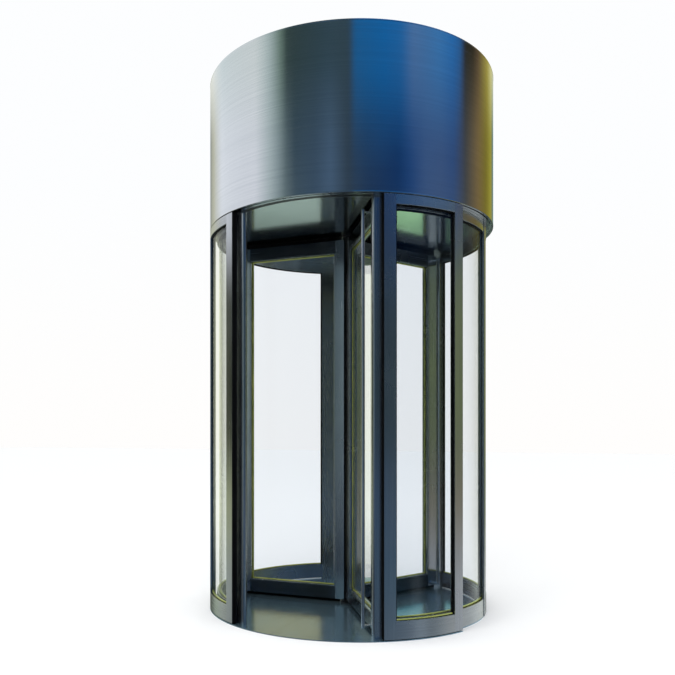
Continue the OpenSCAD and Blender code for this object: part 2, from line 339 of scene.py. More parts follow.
def moulded(name, light, dark, roughness, grit, depth, metallic=0.0, shine=0.5):
    """A moulded or coated surface with a fine grit and slightly cloudy colour."""
    finish, tree = new_material(name)
    place = add(tree, "ShaderNodeTexCoord").outputs["Object"]
    grain = add(tree, "ShaderNodeTexNoise", {"Vector": place, "Scale": grit, "Detail": 3.0})
    cloud = add(tree, "ShaderNodeTexNoise", {"Vector": place, "Scale": 5.0, "Detail": 2.0})
    tone = add(
        tree, "ShaderNodeValToRGB", {"Fac": cloud.outputs["Fac"]},
        stops=[(0.35, linear(dark)), (0.65, linear(light))],
    )
    rough = add(
        tree, "ShaderNodeMapRange",
        {
            "Value": grain.outputs["Fac"], "From Min": 0.3, "From Max": 0.7,
            "To Min": roughness * 0.85, "To Max": roughness * 1.15,
        },
    )
    bump = add(tree, "ShaderNodeBump", {"Strength": 0.3, "Distance": depth, "Height": grain.outputs["Fac"]})
    shader = add(
        tree, "ShaderNodeBsdfPrincipled",
        {
            "Base Color": tone.outputs["Color"], "Metallic": metallic, "Roughness": rough.outputs["Result"],
            "Specular IOR Level": shine, "Normal": bump.outputs[0],
        },
    )
    add(tree, "ShaderNodeOutputMaterial", {"Surface": shader.outputs[0]})
    return finish


# Trims round the floor plate's edge, inside the drum's walls: real parts, made near white as a painted
# highlight for the bright line of light along the walls' foot
pale_trim_painted_highlight = moulded("floor_trim_painted_highlight", "F2F4F4", "E4E8E8", 0.25, 200.0, 0.0001)
trim_in = 0.954
trim_out = 0.9598
trim_top = 0.012
bm = four_bars(
    bmesh.new(), trim_in, trim_out, POST_BACK + 0.5, WALL_POST, FLOOR_T, trim_top, 0.0015
)
finish_piece(bm, "floor_edge_trims", pale_trim_painted_highlight, "drum")

# ---- Drum glass ----
# Curved laminated safety glass, 10 mm thick, in black rubber gaskets. The panes are bent in a
# furnace, and their ground lower and upper edges show the glass's own yellow-green.


def clear_glass(name, hex_tint, slant_tint):
    """Clear glass: see-through from the front, and at a slant mirror-like and more strongly tinted."""
    finish, tree = new_material(name)
    facing = add(tree, "ShaderNodeLayerWeight", {"Blend": 0.5})
    slant = add(tree, "ShaderNodeMath", {0: facing.outputs["Facing"], 1: 5.0}, operation="POWER")
    mirror = add(tree, "ShaderNodeMath", {0: slant.outputs[0], 1: 0.5, 2: 0.012}, operation="MULTIPLY_ADD")
    # A slight roller wave and a film of dust, as on furnace-bent panes
    place = add(tree, "ShaderNodeTexCoord").outputs["Object"]
    waves = add(tree, "ShaderNodeTexNoise", {"Vector": place, "Scale": 2.5, "Detail": 1.0})
    bump = add(tree, "ShaderNodeBump", {"Strength": 0.02, "Distance": 0.004, "Height": waves.outputs["Fac"]})
    film = add(tree, "ShaderNodeTexNoise", {"Vector": place, "Scale": 6.0, "Detail": 4.0})
    rough = add(
        tree, "ShaderNodeMapRange",
        {"Value": film.outputs["Fac"], "From Min": 0.4, "From Max": 0.8, "To Min": 0.01, "To Max": 0.03},
    )
    tint = add(
        tree, "ShaderNodeMix", {0: slant.outputs[0], 6: linear(hex_tint), 7: linear(slant_tint)},
        data_type="RGBA",
    )
    through = add(tree, "ShaderNodeBsdfTransparent", {"Color": tint.outputs[2]})
    gloss = add(
        tree, "ShaderNodeBsdfGlossy",
        {"Color": (1, 1, 1, 1), "Roughness": rough.outputs["Result"], "Normal": bump.outputs[0]},
    )
    shader = add(
        tree, "ShaderNodeMixShader", {0: mirror.outputs[0], 1: through.outputs[0], 2: gloss.outputs[0]}
    )
    add(tree, "ShaderNodeOutputMaterial", {"Surface": shader.outputs[0]})
    return finish


pane = clear_glass("clear_safety_glass", "FBFCFD", "FAFBF0")
rubber = moulded("black_rubber", "0B0C0D", "060607", 0.6, 400.0, 0.0003, 0.0, 0.15)
glass_edge = moulded("ground_glass_edge", "B8BE66", "8F9A4A", 0.25, 120.0, 0.0002)

GLASS_IN = 0.975
GLASS_OUT = 0.985
for name, mirror_x, half_turn in (
    ("front_right_glass", 1, 0), ("front_left_glass", -1, 0),
    ("rear_left_glass", 1, 180), ("rear_right_glass", -1, 180),
):
    bm = arc_bar(GLASS_IN, GLASS_OUT, POST_BACK + 0.02, WALL_POST - 0.02, RAIL_TOP, HEAD_LOW, 0.001)
    bmesh.ops.scale(bm, vec=(mirror_x, 1, 1), verts=bm.verts)
    half_turned(bm, half_turn)
    finish_piece(bm, name.replace("glass", "pane"), pane, "drum", [name])

gasket_t = 0.004
gasket_h = 0.007
foot_gasket_h = 0.003
edge_h = 0.006
edge_proud = 0.0006
gasket_deg = 0.45
bm = bmesh.new()
for in_r, out_r in ((GLASS_IN - gasket_t, GLASS_IN), (GLASS_OUT, GLASS_OUT + gasket_t)):
    join(bm, four_arcs(in_r, out_r, RAIL_TOP, RAIL_TOP + foot_gasket_h, 0.001))
    join(bm, four_arcs(in_r, out_r, HEAD_LOW - gasket_h, HEAD_LOW, 0.001))
    for from_deg in (POST_BACK, WALL_POST - gasket_deg):
        four_bars(bm, in_r, out_r, from_deg, from_deg + gasket_deg, RAIL_TOP, HEAD_LOW, 0.001)
finish_piece(bm, "drum_gaskets", rubber, "drum")
low_z = RAIL_TOP + foot_gasket_h
bm = four_arcs(GLASS_IN - edge_proud, GLASS_OUT + edge_proud, low_z, low_z + edge_h, 0, 0.4)
finish_piece(bm, "drum_glass_edges", glass_edge, "drum")

# ---- Ring beam, ceiling and soffit ----
# A black-coated rolled ring ties the posts together. Inside it lies a disc of polished steel
# sheet, and outside it a folded soffit with the groove that guides the leaves.

coating = moulded("black_powder_coating", "0C0D0F", "08090A", 0.38, 500.0, 0.0002)
polished = brushed_metal(
    "polished_ceiling_steel", "BFC6BE", "B4BCB4", (2.0, 60.0, 60.0), 0.0, 0.14, 0.01, 0.0, 0.0
)
dress("header_ring", coating)
dress("ceiling", polished)
dress("soffit_track", satin_level)

bore_r = 0.0253
collar_r = 0.060
collar_low = 2.768
bm = arc_bar(bore_r, collar_r, 0, 360, collar_low, CLEAR_H, 0.002, 7.5)
finish_piece(bm, "ceiling_collar_cover", coating, "drum", ["ceiling_collar"])

# ---- Canopy ----
# Two half-round sheets of stainless steel, brushed level, closed with folded hems at the top
# and the bottom and butted at the sides. A flat cover of coated sheet closes the top.

CANOPY_R = 1.050
CANOPY_TOP = 3.850
canopy_steel = brushed_metal(
    "brushed_canopy_steel", "CBCED0", "C1C5C8", (0.6, 0.6, 150.0), 0.0, 0.12, 0.02, 0.6
)


def canopy_sheet(from_deg, to_deg):
    """Half of the cladding, spun from its section with the two hems."""
    sheet_t, hem, hem_h, bend, lip = 0.002, 0.0008, 0.008, 0.0015, 0.0006
    section = [
        (CANOPY_R - sheet_t, CLEAR_H), (CANOPY_R - lip, CLEAR_H), (CANOPY_R, CLEAR_H + bend),
        (CANOPY_R, CLEAR_H + hem_h), (CANOPY_R - hem, CLEAR_H + hem_h + bend),
        (CANOPY_R - hem, CANOPY_TOP - hem_h - bend), (CANOPY_R, CANOPY_TOP - hem_h),
        (CANOPY_R, CANOPY_TOP - bend), (CANOPY_R - lip, CANOPY_TOP), (CANOPY_R - sheet_t, CANOPY_TOP),
    ]
    bm = bmesh.new()
    at = first = bm.verts.new((section[0][0], 0, section[0][1]))
    for r, z in section[1:]:
        at = step_to(bm, at, (r, 0, z))
    bm.edges.new((at, first))
    bmesh.ops.transform(bm, matrix=turn_to(from_deg), verts=bm.verts)
    bmesh.ops.spin(
        bm, geom=bm.verts[:] + bm.edges[:], cent=(0, 0, 0), axis=(0, 0, 1),
        angle=math.radians(to_deg - from_deg), steps=180, use_merge=False, use_duplicate=False,
    )
    bmesh.ops.holes_fill(bm, edges=[e for e in bm.edges if e.is_boundary], sides=0)
    return bm


seam = 0.03
finish_piece(
    canopy_sheet(-90 + seam, 90 - seam), "canopy_front_sheet", canopy_steel, "drum",
    ["canopy_front"], 50,
)
finish_piece(
    canopy_sheet(90 + seam, 270 - seam), "canopy_rear_sheet", canopy_steel, "drum",
    ["canopy_rear"], 50,
)

roof_sheet = moulded("coated_roof_sheet", "8C9294", "7C8284", 0.45, 60.0, 0.0004, 0.3)
dress("canopy_roof", roof_sheet)


def block(bm, low, high, edge=0.0, segments=3):
    """Adds a box between two corners, with its edges rounded."""
    low, high = Vector(low), Vector(high)
    size = high - low
    made = bmesh.ops.create_cube(
        bm, size=1, matrix=Matrix.Translation((low + high) / 2) @ Matrix.Diagonal((*size, 1))
    )["verts"]
    if edge:
        edges = list({e for v in made for e in v.link_edges})
        made = bmesh.ops.bevel(
            bm, geom=edges, offset=edge, offset_type="OFFSET", affect="EDGES", segments=segments,
            profile=0.5, material=-1,
        )["verts"]
    return made


roof_z = 3.838
roof_r = 1.02
fold_half = 0.012
fold_h = 0.009
rim_in = 1.022
rim_out = 1.046
rim_h = 0.005
screws = 24
bm = bmesh.new()
for x in (-0.6, -0.2, 0.2, 0.6):
    half = math.sqrt(roof_r**2 - x * x)
    block(bm, (x - fold_half, -half, roof_z), (x + fold_half, half, roof_z + fold_h), 0.002)
join(bm, arc_bar(rim_in, rim_out, 0, 360, roof_z, roof_z + rim_h, 0.001, 3))
for number in range(screws):
    screw = bmesh.new()
    bmesh.ops.create_cone(screw, cap_ends=True, segments=12, radius1=0.006, radius2=0.004, depth=0.004)
    head = Vector(((rim_in + rim_out) / 2, 0, roof_z + rim_h + 0.0018))
    bmesh.ops.translate(screw, verts=screw.verts, vec=turn_to((number + 0.5) * 360 / screws) @ head)
    join(bm, screw)
finish_piece(bm, "roof_seams", roof_sheet, "drum")

# ---- Column and bearings ----
# The wings hang on a round steel column, coated black, that turns in a cover on the floor and
# in the collar under the ceiling. A flange at each end closes the gap round its journal.

WING_LOW = 0.032
WING_HIGH = 2.748


def turned(outline, step=6.0):
    """A body turned on a lathe: radius and height, from the bottom up, about the door's axis."""
    bm = bmesh.new()
    at = bm.verts.new((outline[0][0], 0, outline[0][1]))
    for r, z in outline[1:]:
        at = step_to(bm, at, (r, 0, z))
    bmesh.ops.spin(
        bm, geom=bm.verts[:] + bm.edges[:], cent=(0, 0, 0), axis=(0, 0, 1), angle=math.tau,
        steps=round(360 / step), use_merge=True, use_duplicate=False,
    )
    bmesh.ops.remove_doubles(bm, verts=bm.verts, dist=1e-5)
    bmesh.ops.recalc_face_normals(bm, faces=bm.faces)
    return bm


column_coat = moulded("black_column_lacquer", "0D0D0E", "08080A", 0.22, 300.0, 0.0001)
journal_r = 0.025
tube_r = 0.0377
groove_r = 0.0365
foot_r = 0.070
head_r = 0.058
turn_in = 0.002
bm = turned([
    (0, 0.0063), (journal_r, 0.0063), (journal_r, 0.0262), (foot_r - turn_in, 0.0262),
    (foot_r, 0.0272), (foot_r, 0.0304), (foot_r - turn_in, 0.0314), (tube_r, 0.0314),
    (tube_r, 0.052), (groove_r, 0.053), (groove_r, 0.056), (tube_r, 0.057),
    (tube_r, 2.723), (groove_r, 2.724), (groove_r, 2.727), (tube_r, 2.728),
    (tube_r, 2.7486), (head_r - turn_in, 2.7486), (head_r, 2.7506), (head_r, 2.764),
    (head_r - turn_in, 2.766), (journal_r, 2.766), (journal_r, 2.788), (0, 2.788),
])
finish_piece(bm, "column_tube", column_coat, "rotor", ["centre_column"])

bearing_r = 0.072
bm = turned([
    (bore_r, FLOOR_T), (bearing_r, FLOOR_T), (bearing_r, 0.019), (0.0712, 0.0212), (0.069, 0.0225),
    (0.046, 0.024), (0.0268, 0.024), (bore_r, 0.0225), (bore_r, FLOOR_T),
], 5)
finish_piece(bm, "bearing_cover", coating, "drum", ["floor_bearing"])

# ---- Wing frames ----
# Each wing is a frame of stainless-clad aluminium: an inner stile at the column, a wide outer
# stile, and two rails butted between them, their steel darkened as painted shade. The bent edges leave a fine
# joint.

WINGS = {1: 30, 2: 150, 3: 270}
HALF_T = 0.030
STILE_IN = 0.038
PANEL_IN = 0.110
PANEL_OUT = 0.826
WING_END = 0.926
PANEL_LOW = 0.126
PANEL_HIGH = 2.654
# The rails' steel is darker than the stiles': painted shade standing in for dark reflections and occlusion
# near the ceiling and floor
rail_steel_painted_shade = brushed_metal("stainless_rail_painted_shade", "5E6267", "52565C", (2.2, 2.2, 260.0), 0.0, 0.24)


def on_wing(bm, degrees):
    """Turns a shape drawn along +X to its wing's place."""
    bmesh.ops.transform(bm, matrix=turn_to(degrees), verts=bm.verts)
    return bm


for number, degrees in WINGS.items():
    bm = bmesh.new()
    for from_x, to_x in ((STILE_IN, PANEL_IN), (PANEL_OUT, WING_END)):
        block(bm, (from_x, -HALF_T, WING_LOW), (to_x, HALF_T, WING_HIGH), 0.0025)
    finish_piece(
        on_wing(bm, degrees), f"wing_{number}_stile_covers", satin_upright, "rotor",
        [f"wing_{number}_stiles"],
    )
    bm = bmesh.new()
    for low_z, high_z in ((WING_LOW, PANEL_LOW), (PANEL_HIGH, WING_HIGH)):
        block(bm, (PANEL_IN, -HALF_T, low_z), (PANEL_OUT, HALF_T, high_z), 0.0025)
    finish_piece(
        on_wing(bm, degrees), f"wing_{number}_rail_covers", rail_steel_painted_shade, "rotor",
        [f"wing_{number}_rails"],
    )

# ---- Wing glass ----
# Flat safety glass, 10 mm thick, held all round by snap-in steel beads and thin black gaskets,
# with the yellow-green of the pane's edge just inside them.

half_glass = 0.005
bead_w = 0.008
bead_set_in = 0.003
seal_w = 0.002
seal_t = 0.006
green_w = 0.005
green_t = 0.0005


def frame_strips(bm, low, high, inset, width, half_in, half_out):
    """Four strips round a wing's pane, on both of its faces."""
    (x0, z0), (x1, z1) = (low[0] + inset, low[1] + inset), (high[0] - inset, high[1] - inset)
    for side in (-1, 1):
        y0, y1 = sorted((side * half_in, side * half_out))
        block(bm, (x0, y0, z0), (x1, y1, z0 + width), 0.001, 2)
        block(bm, (x0, y0, z1 - width), (x1, y1, z1), 0.001, 2)
        block(bm, (x0, y0, z0), (x0 + width, y1, z1), 0.001, 2)
        block(bm, (x1 - width, y0, z0), (x1, y1, z1), 0.001, 2)


for number, degrees in WINGS.items():
    dress(f"wing_{number}_glass", pane)
    low, high = (PANEL_IN, PANEL_LOW), (PANEL_OUT, PANEL_HIGH)
    bm = bmesh.new()
    frame_strips(bm, low, high, 0, bead_w, half_glass, HALF_T - bead_set_in)
    finish_piece(
        on_wing(bm, degrees), f"wing_{number}_glazing_beads", satin_upright, "rotor"
    )
    bm = bmesh.new()
    frame_strips(bm, low, high, bead_w, seal_w, half_glass, half_glass + seal_t)
    finish_piece(on_wing(bm, degrees), f"wing_{number}_gaskets", rubber, "rotor")
    bm = bmesh.new()
    frame_strips(bm, low, high, bead_w + seal_w, green_w, half_glass, half_glass + green_t)
    finish_piece(on_wing(bm, degrees), f"wing_{number}_glass_edges", glass_edge, "rotor")

# ---- Brush seals ----
# Black nylon bristles crimped into an extruded holder, on the wing's outer edge and along its
# bottom and top. The tufts are drawn 6 mm apart, about four times as coarse as real ones.

bristle = moulded("black_nylon_bristle", "0C0C0D", "050506", 0.7, 800.0, 0.0005, 0.0, 0.1)
holder = moulded("black_anodised_holder", "0A0B0C", "070708", 0.5, 300.0, 0.0001, 0.0, 0.2)
chance = random.Random(7)
tuft_pitch = 0.006
tuft_root_r = 0.0042
tuft_tip_r = 0.0034


def brush(bm, start, run, stand, length, depth, half_t, shortest=0.985):
    """Tufts along run from start, standing out along stand, each one a narrow tapered bundle."""
    across = run.cross(stand)
    turn = Matrix((run, across, stand)).transposed().to_4x4()
    count = int(length / tuft_pitch)
    for number in range(count):
        reach = depth * chance.uniform(shortest, 1.0)
        place = start + run * ((number + 0.5) * length / count) + stand * (reach / 2)
        bmesh.ops.create_cone(
            bm, cap_ends=True, segments=4, radius1=tuft_root_r, radius2=tuft_tip_r, depth=reach,
            matrix=Matrix.Translation(place) @ turn @ Matrix.Diagonal((1, half_t / tuft_root_r, 1, 1))
            @ Matrix.Rotation(chance.uniform(-0.2, 0.2), 4, "Z"),
        )


BRUSH_END = 0.955
tuft = 0.005
holder_half = 0.007
holder_w = 0.009
foot_from = 0.077
head_from = 0.065
holder_to = 0.9257
holder_low = 0.025
X, Z = Vector((1, 0, 0)), Vector((0, 0, 1))
for number, degrees in WINGS.items():
    holders = bmesh.new()
    for low, high in (
        ((WING_END, -holder_half, WING_LOW), (WING_END + holder_w, holder_half, WING_HIGH)),
        ((foot_from, -holder_half, holder_low), (holder_to, holder_half, WING_LOW)),
        ((head_from, -holder_half, WING_HIGH), (holder_to, holder_half, WING_HIGH + 0.008)),
    ):
        block(holders, low, high, 0.0012, 2)
    finish_piece(
        on_wing(holders, degrees), f"wing_{number}_brush_holders", holder, "rotor"
    )
    bm = bmesh.new()
    root = Vector((WING_END + 0.008, 0, WING_LOW))
    brush(bm, root, Z, X, WING_HIGH - WING_LOW, BRUSH_END - WING_END - 0.0085, tuft, 0.93)
    brush(bm, Vector((foot_from, 0, 0.026)), X, -Z, holder_to - foot_from, 0.0196, tuft)
    brush(bm, Vector((head_from, 0, WING_HIGH + 0.007)), X, Z, holder_to - head_from, 0.0246, tuft)
    finish_piece(
        on_wing(bm, degrees), f"wing_{number}_bristles", bristle, "rotor",
        [f"wing_{number}_brushes"],
    )

# ---- Push bars ----
# A full-height round bar of stainless tube on the face of each wing that people push, with a
# domed cap at each end. Two slanted arms with round plates hold it to the outer stile.

BAR_X = 0.884
BAR_Y = -0.093
ARM_X = 0.856
satin_bar = brushed_metal("brushed_bar_tube", "DCDDE2", "CDCED4", (300.0, 300.0, 1.6), 0.25, 0.16, 0.04, 0.2)


def lathe_at(outline, place):
    """A turned body about an upright axis through a place."""
    bm = turned(outline, 12)
    bmesh.ops.translate(bm, verts=bm.verts, vec=place)
    return bm


def push_bar():
    low, high, r, arm_r = 0.047, 2.718, 0.0115, 0.008
    bm = lathe_at(
        [
            (0, low), (r - 0.003, low), (r - 0.001, low + 0.001), (r, low + 0.003), (r, low + 0.022),
            (r - 0.0006, low + 0.0226), (r - 0.0006, low + 0.0238), (r, low + 0.0244),
            (r, high - 0.0244), (r - 0.0006, high - 0.0238), (r - 0.0006, high - 0.0226),
            (r, high - 0.022), (r, high - 0.003), (r - 0.001, high - 0.001), (r - 0.003, high), (0, high),
        ],
        (BAR_X, BAR_Y, 0),
    )
    for z in (low + r, high - r):
        foot = Vector((ARM_X, -HALF_T - 0.002, z))
        head = Vector((BAR_X, BAR_Y, z))
        run = foot - head
        arm = bmesh.new()
        bmesh.ops.create_cone(
            arm, cap_ends=True, segments=24, radius1=arm_r, radius2=arm_r, depth=run.length
        )
        bmesh.ops.transform(
            arm, verts=arm.verts,
            matrix=Matrix.Translation((foot + head) / 2) @ run.to_track_quat("Z", "Y").to_matrix().to_4x4(),
        )
        join(bm, arm)
        plate_disc = turned([
            (0, 0), (0.016, 0), (0.016, 0.0028), (0.0148, 0.004), (0.0095, 0.004), (0.0092, 0.0036),
            (0, 0.0036),
        ], 15)
        bmesh.ops.rotate(plate_disc, verts=plate_disc.verts, matrix=Matrix.Rotation(math.radians(90), 3, "X"))
        bmesh.ops.translate(plate_disc, verts=plate_disc.verts, vec=(ARM_X, -HALF_T, z))
        join(bm, plate_disc)
    return bm


for number, degrees in WINGS.items():
    finish_piece(
        on_wing(push_bar(), degrees), f"wing_{number}_bar_tube", satin_bar, "rotor",
        [f"wing_{number}_push_bar"],
    )

# ---- Night-closing leaves ----
# Two curved leaves, framed like the drum, that stay parked beside the front doorway and are
# pushed together at night. Each has a rubber strip along its leading edge and hidden guides.

LEAF_IN = 1.010
LEAF_FRONT = 30.25
LEAF_BACK = 62.85
LEAF_POST = 4.2
LEAF_LOW = 0.011
LEAF_HIGH = 2.775
LEAF_PANEL_LOW = 0.125
LEAF_PANEL_HIGH = 2.713
LEAF_GLASS = (1.026, 1.034)
plastic = moulded("black_nylon_guide", "161617", "0E0E0F", 0.4, 350.0, 0.0002)


def on_side(bm, x_sign):
    """Puts a shape drawn for the right leaf on its own side."""
    bmesh.ops.scale(bm, vec=(x_sign, 1, 1), verts=bm.verts)
    return bm


for side, x_sign in (("left", -1), ("right", 1)):
    body = f"{side}_leaf"
    inner, outer = LEAF_FRONT + LEAF_POST, LEAF_BACK - LEAF_POST
    bm = arc_bar(LEAF_IN, CANOPY_R, LEAF_FRONT, inner, LEAF_LOW, LEAF_HIGH, 0.0015, 0.7)
    join(bm, arc_bar(LEAF_IN, CANOPY_R, outer, LEAF_BACK, LEAF_LOW, LEAF_HIGH, 0.0015, 0.7))
    finish_piece(
        on_side(bm, x_sign), f"{body}_post_covers", satin_upright, body, [f"{body}_posts"]
    )

    bm = arc_bar(LEAF_IN, CANOPY_R, inner, outer, LEAF_LOW, LEAF_PANEL_LOW, 0.0015, 1)
    join(bm, arc_bar(LEAF_IN, CANOPY_R, inner, outer, LEAF_PANEL_HIGH, LEAF_HIGH, 0.0015, 1))
    finish_piece(
        on_side(bm, x_sign), f"{body}_rail_covers", satin_level, body, [f"{body}_rails"]
    )

    bm = arc_bar(*LEAF_GLASS, inner + 0.02, outer - 0.02, LEAF_PANEL_LOW, LEAF_PANEL_HIGH, 0.001, 1)
    finish_piece(on_side(bm, x_sign), f"{body}_pane", pane, body, [f"{body}_glass"])

    bm = bmesh.new()
    for in_r, out_r in ((LEAF_GLASS[0] - gasket_t, LEAF_GLASS[0]), (LEAF_GLASS[1], LEAF_GLASS[1] + gasket_t)):
        join(bm, arc_bar(in_r, out_r, inner, outer, LEAF_PANEL_LOW, LEAF_PANEL_LOW + foot_gasket_h, 0.001, 1))
        join(bm, arc_bar(in_r, out_r, inner, outer, LEAF_PANEL_HIGH - gasket_h, LEAF_PANEL_HIGH, 0.001, 1))
        join(bm, arc_bar(in_r, out_r, inner, inner + gasket_deg, LEAF_PANEL_LOW, LEAF_PANEL_HIGH, 0.001))
        join(bm, arc_bar(in_r, out_r, outer - gasket_deg, outer, LEAF_PANEL_LOW, LEAF_PANEL_HIGH, 0.001))
    finish_piece(on_side(bm, x_sign), f"{body}_gaskets", rubber, body)

    low_z = LEAF_PANEL_LOW + foot_gasket_h
    in_r, out_r = LEAF_GLASS[0] - edge_proud, LEAF_GLASS[1] + edge_proud
    bm = arc_bar(in_r, out_r, inner + 0.4, outer - 0.4, low_z, low_z + edge_h, 0, 1)
    finish_piece(on_side(bm, x_sign), f"{body}_glass_edges", glass_edge, body)

    # The strip is a flat rubber extrusion with three ribs that press against the other leaf's
    bm = bmesh.new()
    block(bm, (LEAF_IN + 0.002, -0.003, LEAF_LOW), (CANOPY_R - 0.002, 0, LEAF_HIGH), 0.0006, 2)
    for middle in (1.018, 1.030, 1.042):
        block(bm, (middle - 0.0025, -0.006, LEAF_LOW), (middle + 0.0025, -0.002, LEAF_HIGH), 0.001, 2)
    bmesh.ops.transform(bm, matrix=turn_to(LEAF_FRONT), verts=bm.verts)
    finish_piece(on_side(bm, x_sign), f"{body}_edge_strip", rubber, body, [f"{body}_seal"])
    dress(f"{body}_guides", plastic)

# ---- Studio ----
# A plain pale floor in soft light. Large soft panels round the door, some of them tinted, are
# what its steel and glass mirror; they stand in a ring and light nothing else.

floor_material, tree = new_material("studio_floor")
shader = add(tree, "ShaderNodeBsdfPrincipled", {"Base Color": linear("F7F7F7"), "Roughness": 0.9})
add(tree, "ShaderNodeOutputMaterial", {"Surface": shader.outputs[0]})
bm = bmesh.new()
bmesh.ops.create_grid(bm, x_segments=1, y_segments=1, size=40)
mesh = bpy.data.meshes.new("studio_floor")
bm.to_mesh(mesh)
bm.free()
mesh.materials.append(floor_material)
studio_floor = bpy.data.objects.new("studio_floor", mesh)
bpy.context.scene.collection.objects.link(studio_floor)
studio_floor.visible_glossy = False

world = bpy.data.worlds.new("studio")
bpy.context.scene.world = world
world.use_nodes = True
tree = world.node_tree
tree.nodes.clear()
direction = add(tree, "ShaderNodeTexCoord").outputs["Generated"]
parts = add(tree, "ShaderNodeSeparateXYZ", {0: direction}).outputs
back = add(tree, "ShaderNodeMath", {0: parts["Y"], 1: -1.0}, operation="MULTIPLY")
bearing = add(tree, "ShaderNodeMath", {0: parts["X"], 1: back.outputs[0]}, operation="ARCTAN2")
round_trip = add(
    tree, "ShaderNodeMapRange",
    {"Value": bearing.outputs[0], "From Min": -math.pi, "From Max": math.pi},
)


def panels(stops):
    """A ring of soft panels: bearing in degrees, and colour."""
    return add(
        tree, "ShaderNodeValToRGB", {"Fac": round_trip.outputs["Result"]},
        stops=[((bearing_deg + 180) / 360, (*colour, 1.0)) for bearing_deg, colour in stops],
    ).outputs["Color"]


ceiling_ring = panels([
    (-180, (0.03, 0.06, 0.08)), (-168, (0.04, 0.08, 0.10)), (-166.8, (1.05, 1.75, 0.95)),
    (-164.8, (0.95, 1.60, 0.86)), (-163.8, (0.04, 0.05, 0.05)), (-162.2, (0.04, 0.05, 0.05)),
    (-160.2, (0.72, 0.86, 0.80)), (-153, (0.66, 0.82, 0.74)), (-149, (0.15, 0.18, 0.16)),
    (-90, (0.26, 0.28, 0.26)), (-30, (0.02, 0.03, 0.05)), (30, (0.06, 0.10, 0.14)),
    (75, (0.30, 0.36, 0.44)), (90, (0.42, 0.48, 0.54)), (140, (0.60, 0.64, 0.62)),
    (180, (0.03, 0.06, 0.08)),
])
rail_ring = panels([
    (-180, (0.03, 0.04, 0.04)), (-150, (0.04, 0.05, 0.05)), (-140, (0.04, 0.05, 0.05)),
    (-130, (0.06, 0.08, 0.07)), (-117, (0.48, 0.58, 0.46)), (-103, (0.60, 0.66, 0.62)),
    (-90, (0.44, 0.48, 0.46)), (-60, (0.12, 0.14, 0.14)), (-30, (0.012, 0.02, 0.035)),
    (0, (0.03, 0.05, 0.08)), (30, (0.07, 0.12, 0.18)), (48, (0.08, 0.14, 0.21)),
    (57, (0.03, 0.10, 0.15)), (66, (0.07, 0.13, 0.18)), (72, (0.50, 0.62, 0.70)),
    (76, (0.40, 0.50, 0.56)), (81, (0.02, 0.05, 0.08)), (87, (0.04, 0.08, 0.12)),
    (95, (0.36, 0.42, 0.48)), (102, (0.54, 0.56, 0.60)), (115, (0.64, 0.66, 0.70)),
    (130, (0.66, 0.72, 0.76)), (143, (1.0, 1.05, 1.05)), (158, (1.1, 1.15, 1.1)),
    (170, (0.30, 0.32, 0.30)), (180, (0.03, 0.04, 0.04)),
])
lower_ring = panels([
    (-180, (0.30, 0.34, 0.16)), (-160, (0.80, 0.84, 0.62)), (-120, (0.80, 0.84, 0.62)),
    (-98, (0.52, 0.56, 0.32)), (-86, (0.52, 0.56, 0.34)), (-60, (0.15, 0.17, 0.15)),
    (-29, (0.30, 0.36, 0.34)), (-25, (0.34, 0.40, 0.42)), (-19, (0.10, 0.14, 0.18)),
    (-5, (0.10, 0.14, 0.22)), (30, (0.07, 0.13, 0.24)), (50, (0.064, 0.115, 0.197)),
    (80, (0.16, 0.18, 0.18)), (108, (0.36, 0.30, 0.20)), (125, (0.20, 0.18, 0.14)),
    (150, (0.12, 0.14, 0.10)), (180, (0.30, 0.34, 0.16)),
])
level_ring = panels([
    (-180, (0.30, 0.34, 0.16)), (-165, (0.90, 0.92, 0.72)), (-120, (0.85, 0.88, 0.60)),
    (-104, (0.10, 0.11, 0.07)), (-88, (0.040, 0.046, 0.024)), (-76, (0.010, 0.015, 0.02)),
    (-45, (0.010, 0.015, 0.02)), (-31, (0.24, 0.33, 0.25)), (-28, (0.52, 0.58, 0.56)),
    (-25, (0.52, 0.60, 0.60)), (-22, (0.30, 0.40, 0.42)), (-17.5, (0.26, 0.35, 0.38)),
    (-8, (0.10, 0.15, 0.20)), (15, (0.05, 0.08, 0.12)), (45, (0.03, 0.055, 0.065)),
    (70, (0.05, 0.08, 0.10)), (100, (0.20, 0.24, 0.12)), (112, (0.24, 0.28, 0.13)),
    (128, (0.10, 0.12, 0.08)), (145, (0.063, 0.08, 0.08)), (165, (0.30, 0.32, 0.12)),
    (180, (0.30, 0.34, 0.16)),
])
canopy_foot_ring = panels([
    (-180, (0.12, 0.22, 0.26)), (-172, (0.24, 0.70, 0.68)), (-165, (0.20, 0.52, 0.54)),
    (-161.4, (0.13, 0.28, 0.40)), (-160, (0.55, 0.37, 0.12)), (-153.5, (0.55, 0.37, 0.12)),
    (-152, (0.15, 0.30, 0.40)), (-142, (0.30, 0.32, 0.30)), (-125, (0.66, 0.66, 0.52)),
    (-105, (1.10, 1.13, 1.20)), (-60, (1.04, 1.06, 1.14)), (-46, (0.60, 0.70, 0.72)),
    (-38, (0.36, 0.45, 0.48)), (-31, (0.14, 0.20, 0.23)), (-24, (0.055, 0.10, 0.145)),
    (-8, (0.06, 0.11, 0.18)), (4, (0.090, 0.162, 0.27)), (17, (0.042, 0.072, 0.112)),
    (31, (0.020, 0.050, 0.12)), (55, (0.006, 0.040, 0.155)), (66, (0.012, 0.07, 0.25)),
    (78, (0.055, 0.12, 0.30)), (92, (0.060, 0.12, 0.29)), (105, (0.04, 0.10, 0.28)),
    (119, (0.08, 0.085, 0.09)), (137, (0.267, 0.183, 0.072)), (152, (0.267, 0.217, 0.03)),
    (166, (0.42, 0.38, 0.05)), (180, (0.12, 0.22, 0.26)),
])
